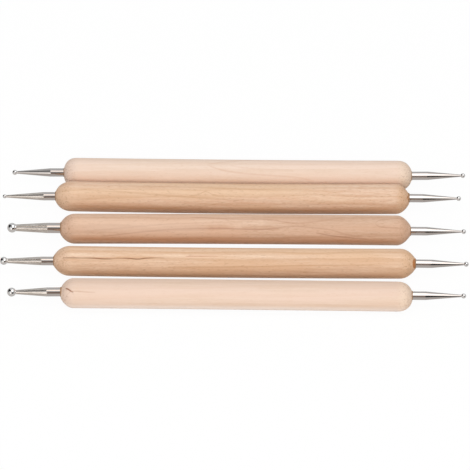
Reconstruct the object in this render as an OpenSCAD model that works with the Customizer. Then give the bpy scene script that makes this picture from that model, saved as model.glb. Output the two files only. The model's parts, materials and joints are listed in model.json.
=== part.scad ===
// Set of five double-ended ball styluses for embossing, laid side by side.
// Each stylus is a turned wooden handle with domed ends. A steel shank is glued into
// a blind bore in each end, tapers to a neck and carries a ball.
// A list holds one value per stylus, from stylus 1 at the back of the row to stylus 5
// at the front. Left is -X and right is +X. Millimetres and degrees.

/* [Handles] */
// Diameter of every handle
handle_d = 9; // [7:0.1:12]
// Nominal length of a handle between its end faces
handle_len = 106; // [60:0.5:150]
// How much longer than nominal each handle was cut
handle_extra = [-1.8, 0, -1.1, 2.5, -0.6]; // [-3:0.1:3]
// Length of the dome on each left end
left_dome_len = [3.8, 5.1, 4.4, 5, 3.9]; // [2.5:0.1:8]
// How far from its end face each left dome would first lean in, 0 for a blunt end
left_dome_nose = [0.7, 1.35, 1.6, 1.85, 1.5]; // [0:0.05:2.5]
// Length of the dome on each right end
right_dome_len = [4.2, 4.1, 4.2, 4.7, 4.5]; // [2.5:0.1:8]
// How far from its end face each right dome would first lean in, 0 for a blunt end
right_dome_nose = [1.1, 1.7, 1.95, 1.95, 1.05]; // [0:0.05:2.5]
// Width of the flat ring around the mouth of a bore that is drilled true
face_ring_w = 0.15; // [0.1:0.05:0.6]

/* [Both tips] */
// Nominal distance from an end face to the far side of its ball
tip_reach = 16; // [13:0.5:24]

/* [Left tips] */
// Diameter of each left ball
left_ball_d = [1.5, 1.2, 2.9, 2.4, 2.7]; // [1.1:0.1:4]
// Diameter of each left shank where it leaves the handle
left_shank_d = [2.5, 2.5, 3.1, 2.6, 2.7]; // [2.1:0.1:4]
// Width of each left neck, where the taper meets the ball, as a share of the ball's
left_neck_share = [0.53, 0.62, 0.69, 0.58, 0.46]; // [0.3:0.01:0.8]
// Length of each left shank that stays cylindrical outside the handle
left_bare_len = [4.1, 3.5, 3.9, 3.6, 4.2]; // [1:0.1:8]
// How far above the handle's axis each left bore was drilled
left_rise = [0.1, 0, 0.25, -0.1, 0.45]; // [-0.5:0.05:0.5]
// How far each left shank leans up from the handle's axis
left_lean = [-0.6, -0.9, 0, -0.4, -1.2]; // [-2:0.1:2]
// How much further than nominal each left ball stands out
left_extra = [-0.45, -0.1, 0.05, 0.2, 0.15]; // [-1:0.05:1]

/* [Right tips] */
// Diameter of each right ball
right_ball_d = [1.4, 1.4, 1.4, 1.5, 1.5]; // [1.1:0.1:4]
// Diameter of each right shank where it leaves the handle
right_shank_d = [2.5, 2.5, 2.55, 2.5, 2.55]; // [2.1:0.05:4]
// Width of each right neck, where the taper meets the ball, as a share of the ball's
right_neck_share = [0.46, 0.46, 0.43, 0.47, 0.47]; // [0.3:0.01:0.8]
// Length of each right shank that stays cylindrical outside the handle
right_bare_len = [4.8, 4.2, 4.8, 4.8, 4]; // [1:0.1:8]
// How far above the handle's axis each right bore was drilled
right_rise = [0, 0.45, -0.25, 0.1, 0.45]; // [-0.5:0.05:0.5]
// How far each right shank leans up from the handle's axis
right_lean = [1.1, 0, -0.4, -0.3, 0.4]; // [-2:0.1:2]
// How much further than nominal each right ball stands out
right_extra = [0.1, -0.4, 0.7, 0, 0.2]; // [-1:0.05:1]

/* [Glued joints] */
// Length of shank inside the handle
tang_len = 12; // [6:0.5:20]
// Chamfer on the inner end of each shank
tang_chamfer = 0.3; // [0.1:0.05:0.6]
// Thickness of the glue film around each tang
glue_film = 0.1; // [0.05:0.01:0.3]
// Room left for glue under the end of each tang
glue_well = 0.5; // [0.2:0.1:2]
// Height of the glue bead that shows around each shank
bead_h = 0.2; // [0.1:0.05:0.6]
// Angle of the drill point at the bottom of each bore
drill_angle = 118; // [90:1:140]

/* [Layout] */
// Gaps between neighbouring handles, back to front
row_gap = [0.95, 4.5, 4.9, 4.8]; // [0.9:0.05:20]
// How far each stylus lies to the right of the middle
shift_x = [0.8, -0.8, 0.25, 0.05, 0.7]; // [-10:0.05:10]
// Turn of each stylus about the vertical, seen from above
yaw = [-0.05, 0, 0.25, 0, -0.18]; // [-0.25:0.01:0.25]

/* [Hidden] */
LEFT = 0;
RIGHT = 1;
SIDE_NAMES = ["left", "right"];
stylus_count = len(handle_extra);
dome_len = [left_dome_len, right_dome_len];
dome_nose = [left_dome_nose, right_dome_nose];
ball_d = [left_ball_d, right_ball_d];
shank_d = [left_shank_d, right_shank_d];
neck_share = [left_neck_share, right_neck_share];
bare_len = [left_bare_len, right_bare_len];
tip_extra = [left_extra, right_extra];
bore_rise = [left_rise, right_rise];
shank_lean = [left_lean, right_lean];
bore_depth = tang_len + glue_well;
dome_steps = 14;
round_fn = 96;
ball_fn = 64;
wood_tones = ["#ecd5c0", "#dcb98f", "#d3ac88", "#ddba8d", "#ead2bd"];
steel_tone = "#c4c2c0";
ball_tone = "#d9d8d6";
glue_tone = "#9a6236";

function node_name(i, piece) = str("stylus_", i + 1, "_", piece);
function side_node(i, side, piece) = node_name(i, str(SIDE_NAMES[side], "_", piece));
function bore_r(i, side) = shank_d[side][i] / 2 + glue_film;
function face_r(i, side) = bore_r(i, side) + face_ring_w;
function row_pitch(i) = handle_d + row_gap[i];
function row_span(i = 0) = i < len(row_gap) ? row_pitch(i) + row_span(i + 1) : 0;
function row_y(i) = i == 0 ? row_span() / 2 : row_y(i - 1) - row_pitch(i - 1);
function handle_length(i) = handle_len + handle_extra[i];
function ball_centre(i, side) = tip_reach + tip_extra[side][i] - ball_d[side][i] / 2;
function neck_r(i, side) = neck_share[side][i] * ball_d[side][i] / 2;
function seat_depth(i, side) = sqrt(pow(ball_d[side][i] / 2, 2) - pow(neck_r(i, side), 2));

// A dome is a quadratic curve, tangent to the barrel, with t running from 0 at the
// barrel to 1 at the end face. These give its radius, its distance from the end face,
// and the t of a radius.
function dome_r(i, side, t) = handle_d / 2 - (handle_d / 2 - face_r(i, side)) * t * t;
function dome_depth(i, side, t) =
    (1 - t) * (1 - t) * dome_len[side][i] + 2 * t * (1 - t) * dome_nose[side][i];
function dome_t(i, side, r) =
    sqrt(min(1, (handle_d / 2 - r) / (handle_d / 2 - face_r(i, side))));

// How far the dome falls away at the low side of a bore drilled off the axis
function mouth_fall(i, side) =
    dome_depth(i, side, dome_t(i, side, bore_r(i, side) + abs(bore_rise[side][i])));

// Points of a dome as [radius, height] on a handle that stands on its left end
function dome_profile(i, side) = [
    for (k = [0 : dome_steps])
        let (t = side == LEFT ? 1 - k / dome_steps : k / dome_steps)
        let (depth = dome_depth(i, side, t))
        [dome_r(i, side, t), side == LEFT ? depth : handle_length(i) - depth]
];

// Puts a stylus, drawn along X about its middle, in its place in the row
module in_row(i) {
    translate([shift_x[i], row_y(i), handle_d / 2])
        rotate([0, 0, yaw[i]])
            children();
}

// Puts what is drawn up from the origin in line with a bore, with the origin at the
// end face and up pointing away from the handle
module in_bore(i, side) {
    outward = side == LEFT ? -1 : 1;
    in_row(i)
        translate([outward * handle_length(i) / 2, 0, bore_rise[side][i]])
            rotate([0, outward * (90 - shank_lean[side][i]), 0])
                children();
}

// The blind bore with its drill point, going down from top
module bore(i, side, top) {
    r = bore_r(i, side);
    rotate_extrude($fn = round_fn)
        polygon([
            [0, top],
            [r, top],
            [r, -bore_depth],
            [0, -bore_depth - r / tan(drill_angle / 2)]
        ]);
}

// Turned wooden handle with a blind bore in each end
module handle(i) {
    color(wood_tones[i])
    difference() {
        in_row(i)
            rotate([0, 90, 0])
                translate([0, 0, -handle_length(i) / 2])
                    rotate_extrude($fn = round_fn)
                        polygon(concat(
                            [[0, 0]],
                            dome_profile(i, LEFT),
                            dome_profile(i, RIGHT),
                            [[0, handle_length(i)]]
                        ));
        for (side = [LEFT, RIGHT]) in_bore(i, side) bore(i, side, bead_h);
    }
}

// Steel shank: a tang in the handle, a bare cylinder, then a taper cupped for the ball
module shank(i, side) {
    r = shank_d[side][i] / 2;
    centre = ball_centre(i, side);
    color(steel_tone)
    in_bore(i, side)
        difference() {
            rotate_extrude($fn = round_fn)
                polygon([
                    [0, -tang_len],
                    [r - tang_chamfer, -tang_len],
                    [r, -tang_len + tang_chamfer],
                    [r, bare_len[side][i]],
                    [neck_r(i, side), centre - seat_depth(i, side)],
                    [neck_r(i, side), centre],
                    [0, centre]
                ]);
            translate([0, 0, centre]) sphere(d = ball_d[side][i], $fn = ball_fn);
        }
}

// Polished steel ball, brazed into the cup of the shank
module ball(i, side) {
    color(ball_tone)
    in_bore(i, side)
        translate([0, 0, ball_centre(i, side)])
            sphere(d = ball_d[side][i], $fn = ball_fn);
}

// Glue that fills the bore around the tang and ends in a small bead at the mouth
module glue(i, side) {
    r = shank_d[side][i] / 2;
    brim = -mouth_fall(i, side);
    color(glue_tone)
    in_bore(i, side)
        difference() {
            union() {
                bore(i, side, brim);
                translate([0, 0, brim])
                    cylinder(h = bead_h - brim, r1 = bore_r(i, side), r2 = r, $fn = round_fn);
            }
            rotate_extrude($fn = round_fn)
                polygon([
                    [0, -tang_len],
                    [r - tang_chamfer, -tang_len],
                    [r, -tang_len + tang_chamfer],
                    [r, 2 * bead_h],
                    [0, 2 * bead_h]
                ]);
        }
}

for (i = [0 : stylus_count - 1]) {
    handle(i);
    for (side = [LEFT, RIGHT]) {
        shank(i, side);
        ball(i, side);
        glue(i, side);
    }
}
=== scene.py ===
import bpy
import bmesh
import json
import math
from collections import Counter
from mathutils import Matrix, Vector


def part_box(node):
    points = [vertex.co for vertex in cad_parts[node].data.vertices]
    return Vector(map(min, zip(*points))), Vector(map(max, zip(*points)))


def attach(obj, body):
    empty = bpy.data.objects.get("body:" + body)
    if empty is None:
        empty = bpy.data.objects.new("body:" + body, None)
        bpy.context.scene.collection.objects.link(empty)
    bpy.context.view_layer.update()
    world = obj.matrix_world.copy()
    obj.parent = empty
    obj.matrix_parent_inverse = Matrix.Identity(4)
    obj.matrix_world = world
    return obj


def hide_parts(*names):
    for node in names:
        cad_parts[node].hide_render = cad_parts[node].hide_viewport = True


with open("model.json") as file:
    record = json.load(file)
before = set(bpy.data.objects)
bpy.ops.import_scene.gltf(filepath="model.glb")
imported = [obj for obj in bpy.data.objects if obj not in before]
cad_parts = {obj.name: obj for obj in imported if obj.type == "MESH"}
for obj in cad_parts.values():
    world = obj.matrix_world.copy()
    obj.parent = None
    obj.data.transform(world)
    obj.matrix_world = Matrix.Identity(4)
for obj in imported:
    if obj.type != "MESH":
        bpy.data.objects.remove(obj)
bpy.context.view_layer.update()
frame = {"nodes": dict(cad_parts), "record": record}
print("frame loaded:", len(frame["nodes"]), "nodes")

mm = 0.001
stylusCount = 5
sides = ("left", "right")

# looks down on the row from the front, without perspective
camera = dict(
    elevation=45.0,
    roll=0.487,
    distance=2.0,
    aim=(0.0001, -0.0000955, 0.0044045),
    frameWidth=0.141,
    clipEnd=20,
)


def placeCamera():
    data = bpy.data.cameras.new("camera")
    data.type = "ORTHO"
    data.ortho_scale = camera["frameWidth"]
    data.clip_end = camera["clipEnd"]
    rig = bpy.data.objects.new("camera", data)
    bpy.context.scene.collection.objects.link(rig)
    tilt = math.radians(camera["elevation"])
    back = Vector((0, -math.cos(tilt), math.sin(tilt)))
    rig.matrix_world = (
        Matrix.Translation(Vector(camera["aim"]) + camera["distance"] * back)
        @ Matrix.Rotation(math.pi / 2 - tilt, 4, "X")
        @ Matrix.Rotation(math.radians(camera["roll"]), 4, "Z")
    )
    bpy.context.scene.camera = rig


placeCamera()
print("camera placed")


# shared helpers
def linear(hexCode):
    # an sRGB hex value as the linear colour that Blender works in
    parts = [int(hexCode[k:k + 2], 16) / 255 for k in (1, 3, 5)]
    return [c / 12.92 if c <= 0.04045 else ((c + 0.055) / 1.055) ** 2.4 for c in parts] + [1]


def addNode(tree, kind, wires=None, **settings):
    # one node with its settings; wires holds a socket or a plain value for each input
    node = tree.nodes.new(kind)
    for name, value in settings.items():
        setattr(node, name, value)
    for socket, value in (wires or {}).items():
        if isinstance(value, bpy.types.NodeSocket):
            tree.links.new(value, node.inputs[socket])
        else:
            node.inputs[socket].default_value = value
    return node


def newMaterial(name):
    material = bpy.data.materials.new(name)
    material.use_nodes = True
    material.node_tree.nodes.clear()
    return material, material.node_tree


def asObject(shape, name):
    # a finished bmesh as an object in the scene
    mesh = bpy.data.meshes.new(name)
    shape.to_mesh(mesh)
    shape.free()
    made = bpy.data.objects.new(name, mesh)
    bpy.context.scene.collection.objects.link(made)
    return made


def asPiece(shape, name, material, node):
    # a finished bmesh as the piece that stands for its CAD node
    piece = asObject(shape, name)
    piece.data.materials.append(material)
    piece.data.shade_smooth()
    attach(piece, "root")
    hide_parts(node)
    return piece


def points(node):
    return [v.co.copy() for v in frame["nodes"][node].data.vertices]


def alongAndOut(point, start, direction):
    # distance along an axis and distance out from it
    along = (point - start).dot(direction)
    return along, (point - start - along * direction).length


def frameOn(start, direction):
    # local +Z runs along direction, local X lies level
    across = Vector((0, 0, 1)).cross(direction).normalized()
    up = direction.cross(across)
    return Matrix((
        (across.x, up.x, direction.x, start.x),
        (across.y, up.y, direction.y, start.y),
        (across.z, up.z, direction.z, start.z),
        (0, 0, 0, 1),
    ))


def spun(profile, steps):
    # turns (out, along) points about local Z, as on a lathe
    shape = bmesh.new()
    verts = [shape.verts.new((out, 0, along)) for out, along in profile]
    for a, b in zip(verts, verts[1:]):
        shape.edges.new((a, b))
    bmesh.ops.spin(
        shape, geom=shape.verts[:] + shape.edges[:], cent=(0, 0, 0), axis=(0, 0, 1),
        angle=math.tau, steps=steps, use_merge=True,
    )
    bmesh.ops.remove_doubles(shape, verts=shape.verts[:], dist=1e-7)
    bmesh.ops.recalc_face_normals(shape, faces=shape.faces[:])
    return shape


def smoothed(profile, perSpan):
    # a Catmull-Rom curve through the points
    out = []
    last = len(profile) - 1
    for k in range(last):
        p0, p1 = profile[max(k - 1, 0)], profile[k]
        p2, p3 = profile[k + 1], profile[min(k + 2, last)]
        for j in range(perSpan):
            t = j / perSpan
            out.append(tuple(
                0.5 * (2 * b + (c - a) * t + (2 * a - 5 * b + 4 * c - d) * t * t
                       + (3 * b - a - 3 * c + d) * t ** 3)
                for a, b, c, d in zip(p0, p1, p2, p3)
            ))
    return out + [profile[last]]


def layMap(shape, name, start, radius, turnOf):
    # a UV map in mm, along local Z from start and round it; turnOf gives a point's angle
    layer = shape.loops.layers.uv.new(name)
    for face in shape.faces:
        middle = turnOf(face.calc_center_median())
        for loop in face.loops:
            turn = turnOf(loop.vert.co)
            turn += math.tau * round((middle - turn) / math.tau)
            loop[layer].uv = ((loop.vert.co.z - start) / mm, turn * radius / mm)


# how sizes are read off the points of the CAD pieces: the fewest points in a ring, the least mm
# between rings, the share of the widest that counts as full width, and the mm that count as neck
reading = dict(ringPoints=6, ringGap=0.03, fullWidth=0.985, neckEnd=0.02)
barrels = {m["name"]: m for m in frame["record"]["mounts"]}


def handleAxis(i):
    mount = barrels[f"barrel_{i}"]
    return Vector(mount["pos_m"]), Vector(mount["axis"]).normalized()


def ballPlace(i, side):
    low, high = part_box(f"stylus_{i}_{side}_ball")
    return (low + high) / 2, (high - low).z / 2


def shankAxis(i, side):
    # from the drill point at the bottom of the bore towards the ball
    centre, along = handleAxis(i)
    outward = along if side == "right" else -along
    drillPoint = min(points(f"stylus_{i}_{side}_glue"), key=lambda p: (p - centre).dot(outward))
    ballCentre, _ = ballPlace(i, side)
    return drillPoint, (ballCentre - drillPoint).normalized()


def boreSizes(i, side):
    # radius of the bore, and how far from the drill point its glue ends
    drillPoint, direction = shankAxis(i, side)
    found = [alongAndOut(p, drillPoint, direction) for p in points(f"stylus_{i}_{side}_glue")]
    return max(out for s, out in found), max(s for s, out in found)


def shankSizes(i, side):
    # radius of the bare cylinder, where it ends, the neck, and how fast the taper narrows
    drillPoint, direction = shankAxis(i, side)
    found = [alongAndOut(p, drillPoint, direction) for p in points(f"stylus_{i}_{side}_shank")]
    radius = max(out for s, out in found)
    ridge = max(s for s, out in found if out > radius * reading["fullWidth"])
    neck = max(s for s, out in found)
    neckRadius = max(out for s, out in found if s > neck - reading["neckEnd"] * mm)
    return dict(radius=radius, ridge=ridge, neck=neck, neckRadius=neckRadius,
                slope=(radius - neckRadius) / (neck - ridge))


# turned handles
handle = dict(
    steps=128, barrelSpans=60, domeSpans=3,  # how fine the turning is
    seam=-90,  # degrees from the front to the seam of the grain map, which lies below
    bow={1: -0.17, 2: -0.42, 3: 0.2, 4: -0.23, 5: 0.08},  # mm that each has warped sideways
    boreDepth=13.5,  # mm
    boreSteps=96,
    drillOver=2.0,  # mm that the drill stands out of the mouth
    sharp=40,  # degrees past which an edge stays sharp
)


def handleRings(i, side):
    # (out, along) in mm of the rings that the CAD dome was turned with, from the end face in
    centre, along = handleAxis(i)
    counted = Counter()
    for p in points(f"stylus_{i}_handle"):
        s, out = alongAndOut(p, centre, along)
        if (s > 0) == (side == "right"):
            counted[(round(abs(s) / mm, 2), round(out / mm, 2))] += 1
    rings = []
    for (s, out), count in sorted(counted.items(), reverse=True):
        further = not rings or (out > rings[-1][0] and s < abs(rings[-1][1]) - reading["ringGap"])
        if count >= reading["ringPoints"] and further:
            rings.append((out, s if side == "right" else -s))
    return rings


def turnHandle(i):
    centre, along = handleAxis(i)
    left, right = handleRings(i, "left"), handleRings(i, "right")[::-1]
    leftEnd, rightEnd = left[0][1], right[-1][1]
    radius, start = left[-1]
    end = right[0][1]
    spans = handle["barrelSpans"]
    barrel = [(radius, start + (end - start) * k / spans) for k in range(1, spans)]
    profile = (
        [(0, leftEnd)] + smoothed(left, handle["domeSpans"]) + barrel
        + smoothed(right, handle["domeSpans"]) + [(0, rightEnd)])
    shape = spun([(out * mm, s * mm) for out, s in profile], handle["steps"])

    # the grain map is measured round from the front
    seam = math.radians(handle["seam"])
    layMap(shape, "grain", 0, radius * mm,
           lambda co: (math.atan2(co.y, -co.x) - seam) % math.tau + seam)

    # the wood has warped a little since it was turned
    middle, half = (start + end) / 2 * mm, (end - start) / 2 * mm
    for vert in shape.verts:
        t = (vert.co.z - middle) / half
        vert.co.x += handle["bow"][i] * mm * max(0, 1 - t * t)
    bmesh.ops.transform(shape, matrix=frameOn(centre, along), verts=shape.verts[:])
    piece = asPiece(
        shape, f"handle_{i}", woodFinish(i, start, end, leftEnd, rightEnd),
        f"stylus_{i}_handle")
    for side in sides:
        drillBore(piece, i, side)
    piece.data.name = piece.name
    piece.data.set_sharp_from_angle(angle=math.radians(handle["sharp"]))


def drillBore(piece, i, side):
    # a blind bore in the end of the handle takes the shank
    drillPoint, direction = shankAxis(i, side)
    boreRadius, mouth = boreSizes(i, side)
    depth, over = handle["boreDepth"] * mm, handle["drillOver"] * mm
    drill = bmesh.new()
    bmesh.ops.create_cone(
        drill, cap_ends=True, segments=handle["boreSteps"], radius1=boreRadius,
        radius2=boreRadius, depth=depth + over,
        matrix=frameOn(drillPoint + direction * (mouth - depth / 2 + over / 2), direction),
    )
    cutter = asObject(drill, "drill")
    cut = piece.modifiers.new("bore", "BOOLEAN")
    cut.object = cutter
    cut.solver = "EXACT"
    bpy.context.view_layer.update()
    whole = bpy.data.meshes.new_from_object(
        piece.evaluated_get(bpy.context.evaluated_depsgraph_get()))
    piece.modifiers.clear()
    spent = (piece.data, cutter.data)
    piece.data = whole
    bpy.data.objects.remove(cutter)
    for mesh in spent:
        bpy.data.meshes.remove(mesh)


# wood of each handle: pale and deep are its fibres, ring the end of a year, drift where the tone
# wanders, fleck its ray flecks, end and farEnd its left and right domes, pore the pores there.
# grit is how much fine grain shows, rings and flecks how strong these get, and pith is where the
# tree's middle ran: its slant in degrees, then mm aside and mm below
wood = {
    1: dict(
        pale="#f3dccc", deep="#ebd0bb", ring="#e2bfa3", drift="#f1d7c6", fleck="#d6ae8d",
        end="#e3cabb", farEnd="#ecd3bb", pore="#b89379",
        grit=0.5, rings=0.22, flecks=0.2, pith=(0.9, 7.5, -5.0)),
    2: dict(
        pale="#f1d5bd", deep="#dfb495", ring="#cb9b72", drift="#e8c3a0", fleck="#b0835a",
        end="#d8b497", farEnd="#d9ae88", pore="#a87c58",
        grit=0.85, rings=0.3, flecks=0.33, pith=(0.5, -9.0, -6.0)),
    3: dict(
        pale="#e9cab2", deep="#d4ad90", ring="#bf8f6e", drift="#e2b99c", fleck="#a97957",
        end="#d0ac94", farEnd="#d6ae92", pore="#a17558",
        grit=0.75, rings=0.3, flecks=0.28, pith=(1.3, 6.0, -8.0)),
    4: dict(
        pale="#f3d6bc", deep="#dcb290", ring="#cd9d74", drift="#e7bf9b", fleck="#b4845b",
        end="#d8b498", farEnd="#deb692", pore="#a67a56",
        grit=0.5, rings=0.4, flecks=0.3, pith=(0.4, 10.0, -4.0)),
    5: dict(
        pale="#e7cdba", deep="#ddc0a9", ring="#ddb99e", drift="#e6cab8", fleck="#d6ae8d",
        end="#e3cabb", farEnd="#ecd3bb", pore="#b89379",
        grit=0.45, rings=0.2, flecks=0.18, pith=(0.7, -8.0, -7.0)),
}

# patterns in the wood, in mm along the grain and across it. A real fibre is too fine to show, so
# these are bundles of them. detail is how finely each breaks up, start moves it along
woodPatterns = {
    "fibre": dict(run=14.0, across=0.6, detail=4.0, start=0),
    "fine": dict(run=1.8, across=0.28, detail=2.0, start=7),
    "drift": dict(run=45.0, across=6.0, detail=1.0, start=13),
    "wander": dict(run=30.0, across=5.0, detail=2.0, start=23),
    "fleck": dict(run=1.5, across=0.32, detail=1.0, start=41),
    "pore": dict(run=0.42, across=0.42, detail=1.0, start=59),
    "waver": dict(run=6.0, across=1.5, detail=2.0, start=71),
}

# how the patterns are used
grainUse = dict(
    apart=31.7,  # moves the patterns on from one handle to the next
    breakUp=0.6,  # how ragged the patterns are
    ringWidth=2.3,  # mm grown in a year
    wander=2.6,  # mm that the year rings wander
    waver=0.3,  # mm that the drawn lines waver
    domeEdge=0.8,  # mm of the barrel that share a dome's tone
    end=0.45, farEnd=0.6,  # strength of the left and the right dome's tone
    coarse=1.1,  # weight of the long fibres against the fine ones
    low=0.25, high=0.85,  # where fibres are deep and where they are pale
    raised=0.03, bump=0.5,  # mm that sanded fibres stand up, and how much of it shows
    dullFrom=(0.3, 0.7), dull=(0.62, 0.5),  # roughness from the hollows to the high spots
)

# lines and soft bands that stand out in the grain, and soft bands of painted shade and painted
# light low on the fronts of handles 2, 3 and 5, as points of (mm along, mm round) from the middle
# of the front, with a half width in mm
grainAndPaintedShadingLines = {
    1: [
        dict(path=((-9.1, 6.6), (-5.2, 5.1), (0.2, 4.1), (9.8, 3.4), (18.8, 2.7), (23.3, 1.5)),
             width=0.45, strength=0.32, tone="#d6a98c"),
        dict(path=((-9.1, 6.9), (-4.6, 7.8), (0.8, 8.8), (9.8, 10.4)),
             width=0.45, strength=0.3, tone="#d9b096"),
        dict(path=((-2.5, 6.7), (1.0, 5.9), (8.0, 5.3), (17.0, 5.0)),
             width=0.5, strength=0.22, tone="#d9b096"),
    ],
    2: [
        dict(path=((-13.5, 4.4), (-10.9, 4.6), (-8.5, 5.6), (-6.1, 4.6), (-3.0, 4.3)),
             width=0.35, strength=0.25, tone="#b08050"),
        dict(path=((-46.0, 5.6), (-30.0, 5.0), (-16.0, 4.0), (4.0, 3.1), (30.0, 2.9)),
             width=0.5, strength=0.22, tone="#b58151"),
        dict(path=((-38.0, 7.4), (-10.0, 7.2), (14.0, 6.3), (38.0, 6.0)),
             width=0.5, strength=0.22, tone="#b58151"),
        # painted shade: a browner band low on the front, where handle 3 in front shades handle 2
        dict(path=((-50.0, 0.2), (-20.0, -0.2), (20.0, -0.3), (50.0, 0.0)),
             width=1.7, strength=0.5, tone="#c08c5e",
             shows=((0.0, 0.0), (0.08, 0.9), (0.5, 1.0), (0.92, 0.9), (1.0, 0.0))),
    ],
    3: [
        dict(path=((-40.6, 1.0), (-31.6, 2.2), (-25.6, 2.8), (-16.6, 3.5), (-6.2, 3.7),
                   (9.8, 3.6), (14.2, 4.2), (18.4, 4.5), (23.2, 4.1), (28.1, 3.6),
                   (32.5, 2.3), (38.2, 1.2)),
             width=0.42, strength=0.36, tone="#a86f56"),
        dict(path=((-14.0, 7.6), (-0.1, 6.8), (9.8, 6.7), (14.2, 5.9), (18.4, 5.5), (23.2, 5.9),
                   (28.1, 6.9), (33.1, 8.1)),
             width=0.42, strength=0.36, tone="#ac755c"),
        dict(path=((-46.0, 2.6), (-36.0, 3.6), (-22.0, 4.8), (-8.0, 5.4), (4.0, 5.4)),
             width=0.42, strength=0.24, tone="#b07c61"),
        dict(path=((41.8, 5.6), (42.4, 6.4), (43.8, 7.0), (46.5, 7.5), (50.5, 7.8)),
             width=0.35, strength=0.36, tone="#a87256"),
        dict(path=((41.8, 5.6), (42.4, 4.9), (43.8, 4.5), (46.5, 4.3), (50.5, 4.2)),
             width=0.35, strength=0.36, tone="#a87256"),
        dict(path=((8.0, 5.6), (24.0, 6.0), (38.0, 5.6), (52.0, 5.4)),
             width=5.0, strength=0.36, tone="#c39677",
             shows=((0.0, 0.0), (0.3, 1.0), (0.9, 0.8), (1.0, 0.0))),
        dict(path=((-50.0, 3.6), (-36.0, 3.9), (-22.0, 3.7), (-8.0, 3.6)),
             width=3.4, strength=0.36, tone="#ecd0bb",
             shows=((0.0, 0.0), (0.15, 0.9), (0.6, 1.0), (1.0, 0.0))),
        # painted shade: a browner band low on the front, where handle 4 in front shades handle 3
        dict(path=((-50.0, 0.2), (-20.0, -0.2), (20.0, -0.3), (50.0, 0.0)),
             width=1.9, strength=0.45, tone="#c8895a",
             shows=((0.0, 0.0), (0.08, 0.9), (0.5, 1.0), (0.92, 0.9), (1.0, 0.0))),
        dict(path=((24.0, 2.5), (31.0, 1.4), (40.0, 0.6)),
             width=0.35, strength=0.4, tone="#a56c53"),
    ],
    4: [
        dict(path=((-51.8, 4.4), (-46.4, 4.5), (-42.5, 4.45), (-38.1, 4.25), (-35.1, 4.5),
                   (-32.4, 4.6), (-29.1, 4.4), (-27.1, 4.65), (-19.1, 4.85)),
             width=0.28, strength=0.95, tone="#8a5427",
             shows=((0.0, 0.6), (0.08, 0.9), (0.2, 0.6), (0.3, 1.0), (0.42, 0.9), (0.5, 0.45),
                    (0.58, 0.85), (0.68, 1.0), (0.76, 0.9), (0.85, 0.5), (1.0, 0.0))),
        dict(path=((-15.0, 5.3), (-12.5, 5.45), (-8.4, 5.5), (-5.0, 5.45)),
             width=0.3, strength=0.45, tone="#b9704f"),
        dict(path=((-20.0, 2.0), (0.0, 2.3), (24.0, 2.9), (44.0, 3.0)),
             width=0.4, strength=0.3, tone="#b88353"),
    ],
    5: [
        dict(path=((-51.0, 5.3), (-50.4, 4.95), (-49.7, 4.4), (-48.6, 3.7)),
             width=0.48, strength=1.0, tone="#8e5230",
             shows=((0.0, 0.3), (0.2, 1.0), (0.6, 0.9), (1.0, 0.2))),
        dict(path=((-49.8, 4.0), (-48.1, 4.15), (-45.5, 3.95), (-42.0, 3.8)),
             width=0.3, strength=0.4, tone="#bd8a68"),
        # painted light: a paler band low on the front, standing in for the light the open floor
        # in front throws up on handle 5
        dict(path=((-52.0, -1.9), (0.0, -1.8), (52.0, -1.9)),
             width=2.2, strength=0.6, tone="#f8ece4",
             shows=((0.0, 0.0), (0.08, 1.0), (0.92, 1.0), (1.0, 0.0))),
    ],
}
lineSpan = (-2, 14)  # the mm round a handle that a line may take
usualShow = ((0.0, 0.0), (0.12, 1.0), (0.8, 0.8), (1.0, 0.0))  # (share of the line, strength)

# glue wiped across the wood beside a mouth: the turn round it in degrees and the reach in mm
smears = {
    (4, "right"): dict(turn=45, reach=1.5, strength=0.95),
    (2, "right"): dict(turn=45, reach=0.8, strength=0.9),
    (4, "left"): dict(turn=100, reach=0.8, strength=0.7),
    (3, "left"): dict(turn=-20, reach=0.6, strength=0.7),
    (1, "right"): dict(turn=20, reach=0.4, strength=0.5),
}
# their colour, how ragged they are, and where they fade past their reach, in mm
smearUse = dict(tone="#b8733a", run=0.8, across=0.5, detail=2.0, start=83,
                ragged=0.9, lift=0.2, fade=(0.3, 0.5))


def grainAndPaintedShadingLine(tree, lengthwise, crosswise, line):
    # how strongly a drawn line of the grain, or a band of painted shade or painted light, shows
    # at each place
    start, end = line["path"][0][0], line["path"][-1][0]
    low, high = lineSpan
    way = addNode(tree, "ShaderNodeMapRange", {
        "Value": lengthwise, "From Min": start, "From Max": end})
    course = addNode(tree, "ShaderNodeFloatCurve", {"Value": way.outputs[0]})
    comes = addNode(tree, "ShaderNodeFloatCurve", {"Value": way.outputs[0]})
    bends = [((u - start) / (end - start), (v - low) / (high - low)) for u, v in line["path"]]
    for node, wanted in ((course, bends), (comes, line.get("shows", usualShow))):
        curve = node.mapping.curves[0]
        curve.points[0].location, curve.points[1].location = wanted[0], wanted[-1]
        for spot in wanted[1:-1]:
            curve.points.new(*spot)
        node.mapping.update()
    height = addNode(tree, "ShaderNodeMath", {
        0: course.outputs[0], 1: high - low, 2: low}, operation="MULTIPLY_ADD")
    away = addNode(tree, "ShaderNodeMath", {
        0: crosswise, 1: height.outputs[0]}, operation="SUBTRACT")
    apart = addNode(tree, "ShaderNodeMath", {0: away.outputs[0]}, operation="ABSOLUTE")
    core = addNode(tree, "ShaderNodeMapRange", {
        "Value": apart.outputs[0], "From Max": line["width"], "To Min": line["strength"],
        "To Max": 0.0}, interpolation_type="SMOOTHSTEP")
    # nothing shows beyond the line's two ends
    inside = addNode(tree, "ShaderNodeMath", {
        0: way.outputs[0], 1: 0.5, 2: 0.499}, operation="COMPARE")
    shown = addNode(tree, "ShaderNodeMath", {
        0: core.outputs[0], 1: comes.outputs[0]}, operation="MULTIPLY")
    return addNode(tree, "ShaderNodeMath", {
        0: shown.outputs[0], 1: inside.outputs[0]}, operation="MULTIPLY").outputs[0]


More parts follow.
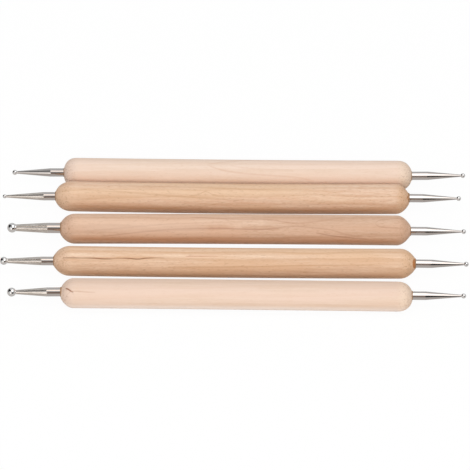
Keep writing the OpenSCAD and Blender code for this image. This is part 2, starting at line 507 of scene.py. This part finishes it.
def smearMask(tree, i, side, inMm, smear):
    # glue that was wiped off the mouth: a ragged patch round one side of it
    centre, _ = handleAxis(i)
    drillPoint, direction = shankAxis(i, side)
    boreRadius, mouth = boreSizes(i, side)
    turn = math.radians(smear["turn"])
    spot = (drillPoint + direction * (mouth - smearUse["lift"] * mm) - centre
            + boreRadius * Vector((0, -math.cos(turn), math.sin(turn)))) / mm
    space = addNode(tree, "ShaderNodeMapping", {
        "Vector": inMm, "Location": (grainUse["apart"] * i + smearUse["start"], 0, 0),
        "Scale": (1 / smearUse["run"], 1 / smearUse["across"], 1 / smearUse["across"])})
    ragged = addNode(tree, "ShaderNodeTexNoise", {
        "Vector": space.outputs[0], "Scale": 1.0, "Detail": smearUse["detail"],
        "Roughness": grainUse["breakUp"]})
    away = addNode(tree, "ShaderNodeVectorMath", {0: inMm, 1: spot}, operation="DISTANCE")
    edge = addNode(tree, "ShaderNodeMath", {
        0: ragged.outputs[0], 1: smearUse["ragged"], 2: away.outputs["Value"]},
        operation="MULTIPLY_ADD")
    near, far = (smear["reach"] + past for past in smearUse["fade"])
    return addNode(tree, "ShaderNodeMapRange", {
        "Value": edge.outputs[0], "From Min": near, "From Max": far,
        "To Min": smear["strength"], "To Max": 0.0}).outputs[0]


def woodFinish(i, barrelStart, barrelEnd, leftEnd, rightEnd):
    # maple or beech dowel, turned, sanded and given a thin matt lacquer: pale, with a soft satin
    # over long straight fibres, small dark flecks, and duller open grain on the domes. Handles 2
    # and 3 also carry a band of painted shade low on the front, and handle 5 a band of painted
    # light there
    look, use = wood[i], grainUse
    material, tree = newMaterial(f"turned_hardwood_{i}")
    centre, _ = handleAxis(i)
    place = addNode(tree, "ShaderNodeTexCoord")
    inMm = addNode(tree, "ShaderNodeMapping", {
        "Vector": place.outputs["Object"], "Location": [-c / mm for c in centre],
        "Scale": (1 / mm, 1 / mm, 1 / mm)}).outputs[0]
    grain = addNode(tree, "ShaderNodeUVMap", uv_map="grain")
    spot = addNode(tree, "ShaderNodeSeparateXYZ", {0: grain.outputs[0]})
    lengthwise, crosswise = spot.outputs[0], spot.outputs[1]

    # each pattern is a noise that is drawn out along the grain
    pattern = {}
    for name, sizes in woodPatterns.items():
        space = addNode(tree, "ShaderNodeMapping", {
            "Vector": inMm, "Location": (use["apart"] * i + sizes["start"], 0, 0),
            "Scale": (1 / sizes["run"], 1 / sizes["across"], 1 / sizes["across"])})
        pattern[name] = addNode(tree, "ShaderNodeTexNoise", {
            "Vector": space.outputs[0], "Scale": 1.0, "Detail": sizes["detail"],
            "Roughness": use["breakUp"]}).outputs[0]

    # year rings: distance from a pith that runs past the dowel at a slight angle
    slant, aside, below = look["pith"]
    pith = addNode(tree, "ShaderNodeMapping", {
        "Vector": inMm, "Location": (0, aside, below),
        "Rotation": (0, math.radians(slant), math.radians(-slant))})
    crossCut = addNode(tree, "ShaderNodeVectorMath", {
        0: pith.outputs[0], 1: (0, 1, 1)}, operation="MULTIPLY")
    distance = addNode(tree, "ShaderNodeVectorMath", {0: crossCut.outputs[0]}, operation="LENGTH")
    wander = addNode(tree, "ShaderNodeMath", {
        0: pattern["wander"], 1: use["wander"], 2: distance.outputs["Value"]},
        operation="MULTIPLY_ADD")
    year = addNode(tree, "ShaderNodeMath", {
        0: wander.outputs[0], 1: use["ringWidth"]}, operation="DIVIDE")
    season = addNode(tree, "ShaderNodeMath", {0: year.outputs[0]}, operation="FRACT").outputs[0]

    # masks: what each reads, where it starts and is full there, and how strong it gets
    leftFrom, rightFrom = barrelStart + use["domeEdge"], barrelEnd - use["domeEdge"]
    rises = {
        "drift": (pattern["drift"], 0.4, 0.62, 0.7),
        "lateWood": (season, 0.35, 0.92, look["rings"]),
        "yearEnd": (season, 1.0, 0.94, 1.0),
        "fleck": (pattern["fleck"], 0.56, 0.76, look["flecks"]),
        "leftDome": (lengthwise, leftFrom, (barrelStart + leftEnd) / 2, 1.0),
        "rightDome": (lengthwise, rightFrom, (barrelEnd + rightEnd) / 2, 1.0),
        "poreSpots": (pattern["pore"], 0.56, 0.7, 0.5),
    }
    mask = {}
    for name, (value, low, high, most) in rises.items():
        mask[name] = addNode(tree, "ShaderNodeMapRange", {
            "Value": value, "From Min": low, "From Max": high, "To Max": most,
        }, interpolation_type="SMOOTHSTEP").outputs[0]
    dome = addNode(tree, "ShaderNodeMath", {
        0: mask["leftDome"], 1: mask["rightDome"]}, operation="MAXIMUM").outputs[0]
    products = {
        "ring": (mask["lateWood"], mask["yearEnd"]),
        "end": (mask["leftDome"], use["end"]),
        "farEnd": (mask["rightDome"], use["farEnd"]),
        "pore": (mask["poreSpots"], dome),
    }
    for name, (a, b) in products.items():
        mask[name] = addNode(
            tree, "ShaderNodeMath", {0: a, 1: b}, operation="MULTIPLY").outputs[0]
    layers = [
        (mask[name], look[name]) for name in ("drift", "ring", "fleck", "end", "farEnd", "pore")]

    # drawn lines of grain and the bands of painted shade and painted light follow the fibres'
    # waver, and wiped glue lies over all
    bent = addNode(tree, "ShaderNodeMath", {
        0: pattern["waver"], 1: use["waver"], 2: crosswise}, operation="MULTIPLY_ADD")
    bent = addNode(tree, "ShaderNodeMath", {
        0: bent.outputs[0], 1: use["waver"] / 2}, operation="SUBTRACT")
    for line in grainAndPaintedShadingLines[i]:
        layers.append((grainAndPaintedShadingLine(tree, lengthwise, bent.outputs[0], line), line["tone"]))
    for (number, side), smear in smears.items():
        if number == i:
            layers.append((smearMask(tree, i, side, inMm, smear), smearUse["tone"]))

    gritty = addNode(tree, "ShaderNodeMath", {
        0: pattern["fine"], 1: look["grit"]}, operation="MULTIPLY")
    fibres = addNode(tree, "ShaderNodeMath", {
        0: pattern["fibre"], 1: use["coarse"], 2: gritty.outputs[0]}, operation="MULTIPLY_ADD")
    share = addNode(tree, "ShaderNodeMapRange", {
        "Value": fibres.outputs[0], "From Min": use["low"] + look["grit"] / 2,
        "From Max": use["high"] + look["grit"] / 2})
    tone = addNode(tree, "ShaderNodeMix", {
        "Factor": share.outputs[0], 6: linear(look["deep"]), 7: linear(look["pale"])},
        data_type="RGBA")
    for shows, colour in layers:
        tone = addNode(tree, "ShaderNodeMix", {
            "Factor": shows, 6: tone.outputs[2], 7: linear(colour)}, data_type="RGBA")

    # fibres stand up a few hundredths of a millimetre, and the hollows between are duller
    raised = addNode(tree, "ShaderNodeBump", {
        "Height": fibres.outputs[0], "Strength": use["bump"], "Distance": use["raised"] * mm})
    dull = addNode(tree, "ShaderNodeMapRange", {
        "Value": pattern["fine"], "From Min": use["dullFrom"][0], "From Max": use["dullFrom"][1],
        "To Min": use["dull"][0], "To Max": use["dull"][1]})
    shader = addNode(tree, "ShaderNodeBsdfPrincipled", {
        "Base Color": tone.outputs[2], "Roughness": dull.outputs[0], "IOR": 1.5,
        "Specular IOR Level": 0.35, "Sheen Weight": 0.1, "Sheen Roughness": 0.35,
        "Sheen Tint": linear("#d9dde0"), "Normal": raised.outputs[0]})
    addNode(tree, "ShaderNodeOutputMaterial", {"Surface": shader.outputs[0]})
    return material


for i in range(1, stylusCount + 1):
    turnHandle(i)
print("handles turned")


# steel shanks: how much tang is made inside the handle, its chamfer and how soft the ridge is
# where the taper starts, in mm; cap is how far the shank reaches into its ball, in neck radii
shank = dict(steps=72, bareSpans=8, coneSpans=24, tang=4.0, chamfer=0.3, ridge=0.05, cap=0.5,
             sharp=30)


def turnShank(i, side):
    drillPoint, direction = shankAxis(i, side)
    rod = shankSizes(i, side)
    radius, ridge, neck = rod["radius"], rod["ridge"], rod["neck"]
    chamfer, soft = shank["chamfer"] * mm, shank["ridge"] * mm
    inner = boreSizes(i, side)[1] - shank["tang"] * mm
    first = inner + chamfer
    profile = [(0, inner), (radius - chamfer, inner), (radius, first)]
    spans = shank["bareSpans"]
    profile += [(radius, first + (ridge - soft - first) * k / spans) for k in range(1, spans + 1)]
    spans = shank["coneSpans"]
    for k in range(spans + 1):
        s = ridge + soft + (neck - ridge - soft) * k / spans
        profile.append((radius - rod["slope"] * (s - ridge), s))
    profile.append((0, neck + rod["neckRadius"] * shank["cap"]))
    shape = spun(profile, shank["steps"])
    layMap(shape, "turned", ridge, radius, lambda co: math.atan2(co.y, co.x))
    bmesh.ops.transform(shape, matrix=frameOn(drillPoint, direction), verts=shape.verts[:])
    piece = asPiece(
        shape, f"shank_{i}_{side}", shankFinish(i, side), f"stylus_{i}_{side}_shank")
    piece.data.set_sharp_from_angle(angle=math.radians(shank["sharp"]))


# bare is the colour of the cylinder, tint and worn those of the taper, low and high the roughness
# of cylinder and taper, and cut how deep the lines of the wheel are
shankLooks = {
    "polished": dict(
        bare="#d8cfc9", tint="#d8cfc9", worn="#c8beb7", low=0.03, high=0.03, cut=0.04),
    "ground": dict(
        bare="#dcd2cb", tint="#fbf1e8", worn="#b9ab9e", low=0.04, high=0.14, cut=0.6),
}
# the wheel's lines are drawn coarser than real ones, so that they show
shankUse = dict(
    taperFrom=(-0.05, 0.1),  # mm past the ridge over which the taper's finish comes in
    run=2.857, across=0.3125,  # mm along and across the lines
    apart=(7.3, 3.1),  # moves them on from one stylus to the next
    detail=3.0, breakUp=0.7,  # how finely and how raggedly they break up
    lines=(0.3, 0.7),  # where they are bright and where they are worn
    cutDepth=0.02,  # mm
    smudge=2.0, smudgeDetail=2.0,  # mm across a smudge
    smudged=0.03,  # roughness that a smudge adds
)


def shankFinish(i, side):
    # bright drawn steel rod, polished: a near mirror that runs in long bands. Most left tapers
    # were ground by hand, and their fine lines break the bands up and make them softer
    look = shankLooks["ground" if side == "left" and i > 1 else "polished"]
    use = shankUse
    material, tree = newMaterial(f"polished_steel_{i}_{side}")
    turned = addNode(tree, "ShaderNodeUVMap", uv_map="turned")
    spot = addNode(tree, "ShaderNodeSeparateXYZ", {0: turned.outputs[0]})
    onTaper = addNode(tree, "ShaderNodeMapRange", {
        "Value": spot.outputs[0], "From Min": use["taperFrom"][0],
        "From Max": use["taperFrom"][1]}).outputs[0]
    strands = addNode(tree, "ShaderNodeMapping", {
        "Vector": turned.outputs[0], "Location": (use["apart"][0] * i, use["apart"][1] * i, 0),
        "Scale": (1 / use["run"], 1 / use["across"], 1)})
    wheel = addNode(tree, "ShaderNodeTexNoise", {
        "Vector": strands.outputs[0], "Scale": 1.0, "Detail": use["detail"],
        "Roughness": use["breakUp"]})
    clouds = addNode(tree, "ShaderNodeTexNoise", {
        "Vector": turned.outputs[0], "Scale": 1 / use["smudge"], "Detail": use["smudgeDetail"]})
    lines = addNode(tree, "ShaderNodeMath", {
        0: wheel.outputs[0], 1: onTaper}, operation="MULTIPLY")
    tint = addNode(tree, "ShaderNodeMapRange", {
        "Value": lines.outputs[0], "From Min": use["lines"][0], "From Max": use["lines"][1]})
    taper = addNode(tree, "ShaderNodeMix", {
        "Factor": tint.outputs[0], 6: linear(look["tint"]), 7: linear(look["worn"])},
        data_type="RGBA")
    steel = addNode(tree, "ShaderNodeMix", {
        "Factor": onTaper, 6: linear(look["bare"]), 7: taper.outputs[2]}, data_type="RGBA")
    dull = addNode(tree, "ShaderNodeMapRange", {
        "Value": onTaper, "To Min": look["low"], "To Max": look["high"]})
    smudged = addNode(tree, "ShaderNodeMath", {
        0: clouds.outputs[0], 1: use["smudged"], 2: dull.outputs[0]}, operation="MULTIPLY_ADD")
    cut = addNode(tree, "ShaderNodeBump", {
        "Height": lines.outputs[0], "Strength": look["cut"], "Distance": use["cutDepth"] * mm})
    shader = addNode(tree, "ShaderNodeBsdfPrincipled", {
        "Base Color": steel.outputs[2], "Metallic": 1.0, "Roughness": smudged.outputs[0],
        "Normal": cut.outputs[0]})
    addNode(tree, "ShaderNodeOutputMaterial", {"Surface": shader.outputs[0]})
    return material


# steel balls, each with its fillet of braze: how long the fillet is in ball diameters, where on
# the ball it starts and how far its corner stands out, as shares of the neck, how proud its
# feather edge is in mm, and how it closes inside the shank
ball = dict(steps=64, spans=28, fillet=0.07, filletStart=1.05, filletSpans=6, corner=1.01,
            proud=0.004, closeShare=0.6, closeDepth=0.05, sharp=60, tone="#f0ebe7", dull=0.03)


def turnBall(i, side):
    drillPoint, direction = shankAxis(i, side)
    ballCentre, ballRadius = ballPlace(i, side)
    rod = shankSizes(i, side)
    centre = (ballCentre - drillPoint).length
    startAngle = math.asin(rod["neckRadius"] / ballRadius) * ball["filletStart"]
    profile = []
    for k in range(ball["spans"] + 1):
        a = math.pi - (math.pi - startAngle) * k / ball["spans"]
        profile.append((ballRadius * math.sin(a), centre - ballRadius * math.cos(a)))
    profile[0] = (0, centre + ballRadius)

    end = rod["neck"] - ball["fillet"] * ballRadius * 2
    edge = profile[-1]
    corner = (rod["neckRadius"] * ball["corner"], rod["neck"])
    cone = (rod["radius"] - rod["slope"] * (end - rod["ridge"]) + ball["proud"] * mm, end)
    for k in range(1, ball["filletSpans"]):
        t = k / ball["filletSpans"]
        profile.append(tuple(
            (1 - t) ** 2 * a + 2 * t * (1 - t) * b + t * t * c
            for a, b, c in zip(edge, corner, cone)))
    closed = end - ball["closeDepth"] * mm
    profile += [cone, (cone[0] * ball["closeShare"], closed), (0, closed)]
    shape = spun(profile, ball["steps"])
    bmesh.ops.transform(shape, matrix=frameOn(drillPoint, direction), verts=shape.verts[:])
    piece = asPiece(
        shape, f"ball_{i}_{side}", ballFinish(), f"stylus_{i}_{side}_ball")
    piece.data.set_sharp_from_angle(angle=math.radians(ball["sharp"]))


def ballFinish():
    # bearing steel, ground and lapped: a near mirror, brighter than the rod
    material = bpy.data.materials.get("lapped_steel")
    if material:
        return material
    material, tree = newMaterial("lapped_steel")
    shader = addNode(tree, "ShaderNodeBsdfPrincipled", {
        "Base Color": linear(ball["tone"]), "Metallic": 1.0, "Roughness": ball["dull"]})
    addNode(tree, "ShaderNodeOutputMaterial", {"Surface": shader.outputs[0]})
    return material


# glue beads, in mm: deep and skirt are below the end face, rise is the top above it, and inset is
# how far the bead reaches into the shank. crown is (share of the spread, height) over the wood,
# lip is (distance off the shank, height), waves are (count round the edge, size), and only what
# lies past the bore's radius by this factor is ragged
bead = dict(
    steps=72, deep=1.5, skirt=0.45, rise=0.2, inset=0.05, ragged=0.35, spread=0.06,
    crown=((0.8, -0.45), (1.0, -0.1), (0.85, 0.03), (0.3, 0.1)),
    lip=((0.05, 0.15), (0.015, 0.2)),
    waves=((3, 0.5), (7, 0.3), (13, 0.2)), phase=(1.7, 2.6), past=1.001,
    tone="#a37c59", dull=0.4,
)
# mm that the glue spread where more of it squeezed out
fullBeads = {(4, "right"): 0.3, (2, "right"): 0.22, (3, "left"): 0.2, (2, "left"): 0.15}


def squeezeGlue(i, side):
    drillPoint, direction = shankAxis(i, side)
    radius = shankSizes(i, side)["radius"]
    bore, mouth = boreSizes(i, side)
    face = mouth - bead["rise"] * mm
    spread = fullBeads.get((i, side), bead["spread"]) * mm
    inner = radius - bead["inset"] * mm
    deep, skirt = face - bead["deep"] * mm, face - bead["skirt"] * mm
    section = [(inner, deep), (bore, deep), (bore, skirt)]
    section += [(bore + spread * share, face + high * mm) for share, high in bead["crown"]]
    section += [(radius + out * mm, face + high * mm) for out, high in bead["lip"]]
    section.append((inner, mouth))
    shape = spun(section + section[:1], bead["steps"])

    # the edge on the wood is ragged, and no two are alike
    phase = i * bead["phase"][0] + sides.index(side) * bead["phase"][1]
    for vert in shape.verts:
        out = math.hypot(vert.co.x, vert.co.y)
        if out > bore * bead["past"]:
            turn = math.atan2(vert.co.y, vert.co.x)
            wave = sum(
                size * math.sin(count * turn + k * phase)
                for k, (count, size) in enumerate(bead["waves"], 1))
            swell = 1 + (out - bore) / out * bead["ragged"] * wave
            vert.co.x *= swell
            vert.co.y *= swell
    bmesh.ops.transform(shape, matrix=frameOn(drillPoint, direction), verts=shape.verts[:])
    asPiece(shape, f"glue_{i}_{side}", glueFinish(), f"stylus_{i}_{side}_glue")


def glueFinish():
    # wood glue that squeezed out, was wiped and set hard: amber brown and half glossy
    material = bpy.data.materials.get("amber_glue")
    if material:
        return material
    material, tree = newMaterial("amber_glue")
    shader = addNode(tree, "ShaderNodeBsdfPrincipled", {
        "Base Color": linear(bead["tone"]), "Roughness": bead["dull"]})
    addNode(tree, "ShaderNodeOutputMaterial", {"Surface": shader.outputs[0]})
    return material


for i in range(1, stylusCount + 1):
    for side in sides:
        turnShank(i, side)
        turnBall(i, side)
        squeezeGlue(i, side)
print("tips turned")


# studio, in metres
studio = dict(
    floorSize=6.0,
    floor="#fcfcfc",  # the paper as the camera sees it
    bounce="#dacfc1",  # what it throws up on the object
    shadow=0.045,  # how much of its real shading shows
    sheen=0.55,  # how bright it is in a reflection
    sky=0.62, skyTone="#f4faff",  # the light from all round
    glossySky=0.62,  # and how bright that is in a reflection
)
lamps = {
    "softbox": dict(size=(0.9, 0.7), place=(0.0, -0.25, 0.85), power=2.8, tone="#fff8ef"),
    "frontFill": dict(size=(1.2, 0.25), place=(0.0, -1.02, 0.76), power=3.5, tone="#fff3e6"),
    "backFill": dict(size=(1.2, 0.3), place=(0.0, 1.1, 0.5), power=1.3, tone="#fffaf4"),
    "lowFill": dict(size=(1.2, 0.06), place=(0.0, -1.2, 0.04), power=4.2, tone="#dcecff"),
}

# cards that show in reflections alone: the face of the softbox, and dark flags round the table.
# flag_front is grey on its left, as bright as lift, then black from where the right tapers see it
cards = {
    "softbox_face": dict(level=2.0, size=(0.7, 1.05), place=(0.35, -0.15, 0.9), tone="#ffffff",
                         facing="down"),
    "softbox_edge": dict(level=1.5, size=(0.14, 0.5), place=(-0.07, -0.1, 0.9), tone="#fff8f2",
                         facing="down"),
    "flag_over": dict(level=0.02, size=(0.56, 0.44), place=(-0.42, -0.05, 0.92), tone="#ffe6d8",
                      facing="down"),
    "flag_front": dict(level=0.0, size=(2.61, 1.12), place=(1.135, -1.45, 0.56), tone="#ffe6d8",
                       facing="back", lift=0.25, liftEnd=0.13, fade=0.06),
    "flag_side": dict(level=0.16, size=(0.24, 0.6), place=(-0.14, -1.44, 1.3), tone="#ffe6d8",
                      facing="back"),
    "fill_left": dict(level=1.3, size=(1.04, 1.3), place=(-0.68, -1.46, 0.65), tone="#ffffff",
                      facing="back"),
    "flag_left": dict(level=0.005, size=(2.15, 2.1), place=(-1.3, 0.72, 1.15), tone="#ffe6d8",
                      facing="right"),
}
upright = Matrix.Rotation(math.pi / 2, 4, "X")
facings = {
    "down": Matrix.Identity(4),
    "back": upright,
    "right": Matrix.Rotation(math.pi / 2, 4, "Z") @ upright,
}


def layFloor():
    shape = bmesh.new()
    bmesh.ops.create_grid(shape, x_segments=1, y_segments=1, size=studio["floorSize"] / 2)
    floor = asObject(shape, "floor")
    # smooth white paper: it reads white, keeps a soft shadow, and throws up less than it shows
    material, tree = newMaterial("white_paper_sweep")
    ray = addNode(tree, "ShaderNodeLightPath")
    seen = addNode(tree, "ShaderNodeMath", {
        0: ray.outputs["Is Camera Ray"], 1: ray.outputs["Is Glossy Ray"]}, operation="MAXIMUM")
    share = addNode(tree, "ShaderNodeMath", {
        0: seen.outputs[0], 1: 1 - studio["shadow"]}, operation="MULTIPLY")
    thrown = addNode(tree, "ShaderNodeMix", {
        "Factor": ray.outputs["Is Camera Ray"], 6: linear(studio["bounce"]),
        7: linear(studio["floor"])}, data_type="RGBA")
    level = addNode(tree, "ShaderNodeMapRange", {
        "Value": ray.outputs["Is Glossy Ray"], "To Min": 1.0, "To Max": studio["sheen"]})
    paper = addNode(tree, "ShaderNodeBsdfDiffuse", {"Color": thrown.outputs[2]})
    white = addNode(tree, "ShaderNodeEmission", {
        "Color": (1, 1, 1, 1), "Strength": level.outputs[0]})
    both = addNode(tree, "ShaderNodeMixShader", {
        0: share.outputs[0], 1: paper.outputs[0], 2: white.outputs[0]})
    addNode(tree, "ShaderNodeOutputMaterial", {"Surface": both.outputs[0]})
    floor.data.materials.append(material)


def standCards():
    for name, card in cards.items():
        width, height = card["size"]
        shape = bmesh.new()
        bmesh.ops.create_grid(shape, x_segments=1, y_segments=1, size=1)
        bmesh.ops.scale(shape, vec=(width / 2, height / 2, 1), verts=shape.verts[:])
        place = Matrix.Translation(Vector(card["place"]))
        bmesh.ops.transform(shape, matrix=place @ facings[card["facing"]], verts=shape.verts[:])
        sheet = asObject(shape, name)
        material, tree = newMaterial("lit_" + name)
        level = card["level"]
        if "lift" in card:
            where = addNode(tree, "ShaderNodeTexCoord")
            across = addNode(tree, "ShaderNodeSeparateXYZ", {0: where.outputs["Object"]})
            level = addNode(tree, "ShaderNodeMapRange", {
                "Value": across.outputs[0], "From Min": card["liftEnd"] - card["fade"] / 2,
                "From Max": card["liftEnd"] + card["fade"] / 2,
                "To Min": card["lift"], "To Max": level}).outputs[0]
        light = addNode(tree, "ShaderNodeEmission", {
            "Color": linear(card["tone"]), "Strength": level})
        addNode(tree, "ShaderNodeOutputMaterial", {"Surface": light.outputs[0]})
        sheet.data.materials.append(material)
        sheet.visible_camera = False
        sheet.visible_diffuse = False
        sheet.visible_shadow = False
        sheet.visible_transmission = False


def hangLights():
    world = bpy.data.worlds.new("studio")
    bpy.context.scene.world = world
    world.use_nodes = True
    tree = world.node_tree
    tree.nodes.clear()
    ray = addNode(tree, "ShaderNodeLightPath")
    level = addNode(tree, "ShaderNodeMapRange", {
        "Value": ray.outputs["Is Glossy Ray"], "To Min": studio["sky"],
        "To Max": studio["glossySky"]})
    shown = addNode(tree, "ShaderNodeMix", {
        0: ray.outputs["Is Camera Ray"], 2: level.outputs[0], 3: 1.0})
    tint = addNode(tree, "ShaderNodeMix", {
        0: ray.outputs["Is Camera Ray"], 6: linear(studio["skyTone"]), 7: (1, 1, 1, 1)},
        data_type="RGBA")
    sky = addNode(tree, "ShaderNodeBackground", {
        "Color": tint.outputs[2], "Strength": shown.outputs[0]})
    addNode(tree, "ShaderNodeOutputWorld", {"Surface": sky.outputs[0]})
    for name, box in lamps.items():
        lamp = bpy.data.lights.new(name, "AREA")
        lamp.shape = "RECTANGLE"
        lamp.size, lamp.size_y = box["size"]
        lamp.energy = box["power"]
        lamp.color = linear(box["tone"])[:3]
        rig = bpy.data.objects.new(name, lamp)
        rig.visible_glossy = False
        bpy.context.scene.collection.objects.link(rig)
        place = Vector(box["place"])
        rig.matrix_world = (
            Matrix.Translation(place) @ (-place).to_track_quat("-Z", "Y").to_matrix().to_4x4())


layFloor()
standCards()
hangLights()
bpy.context.scene.view_settings.view_transform = "Standard"
print("studio lit")
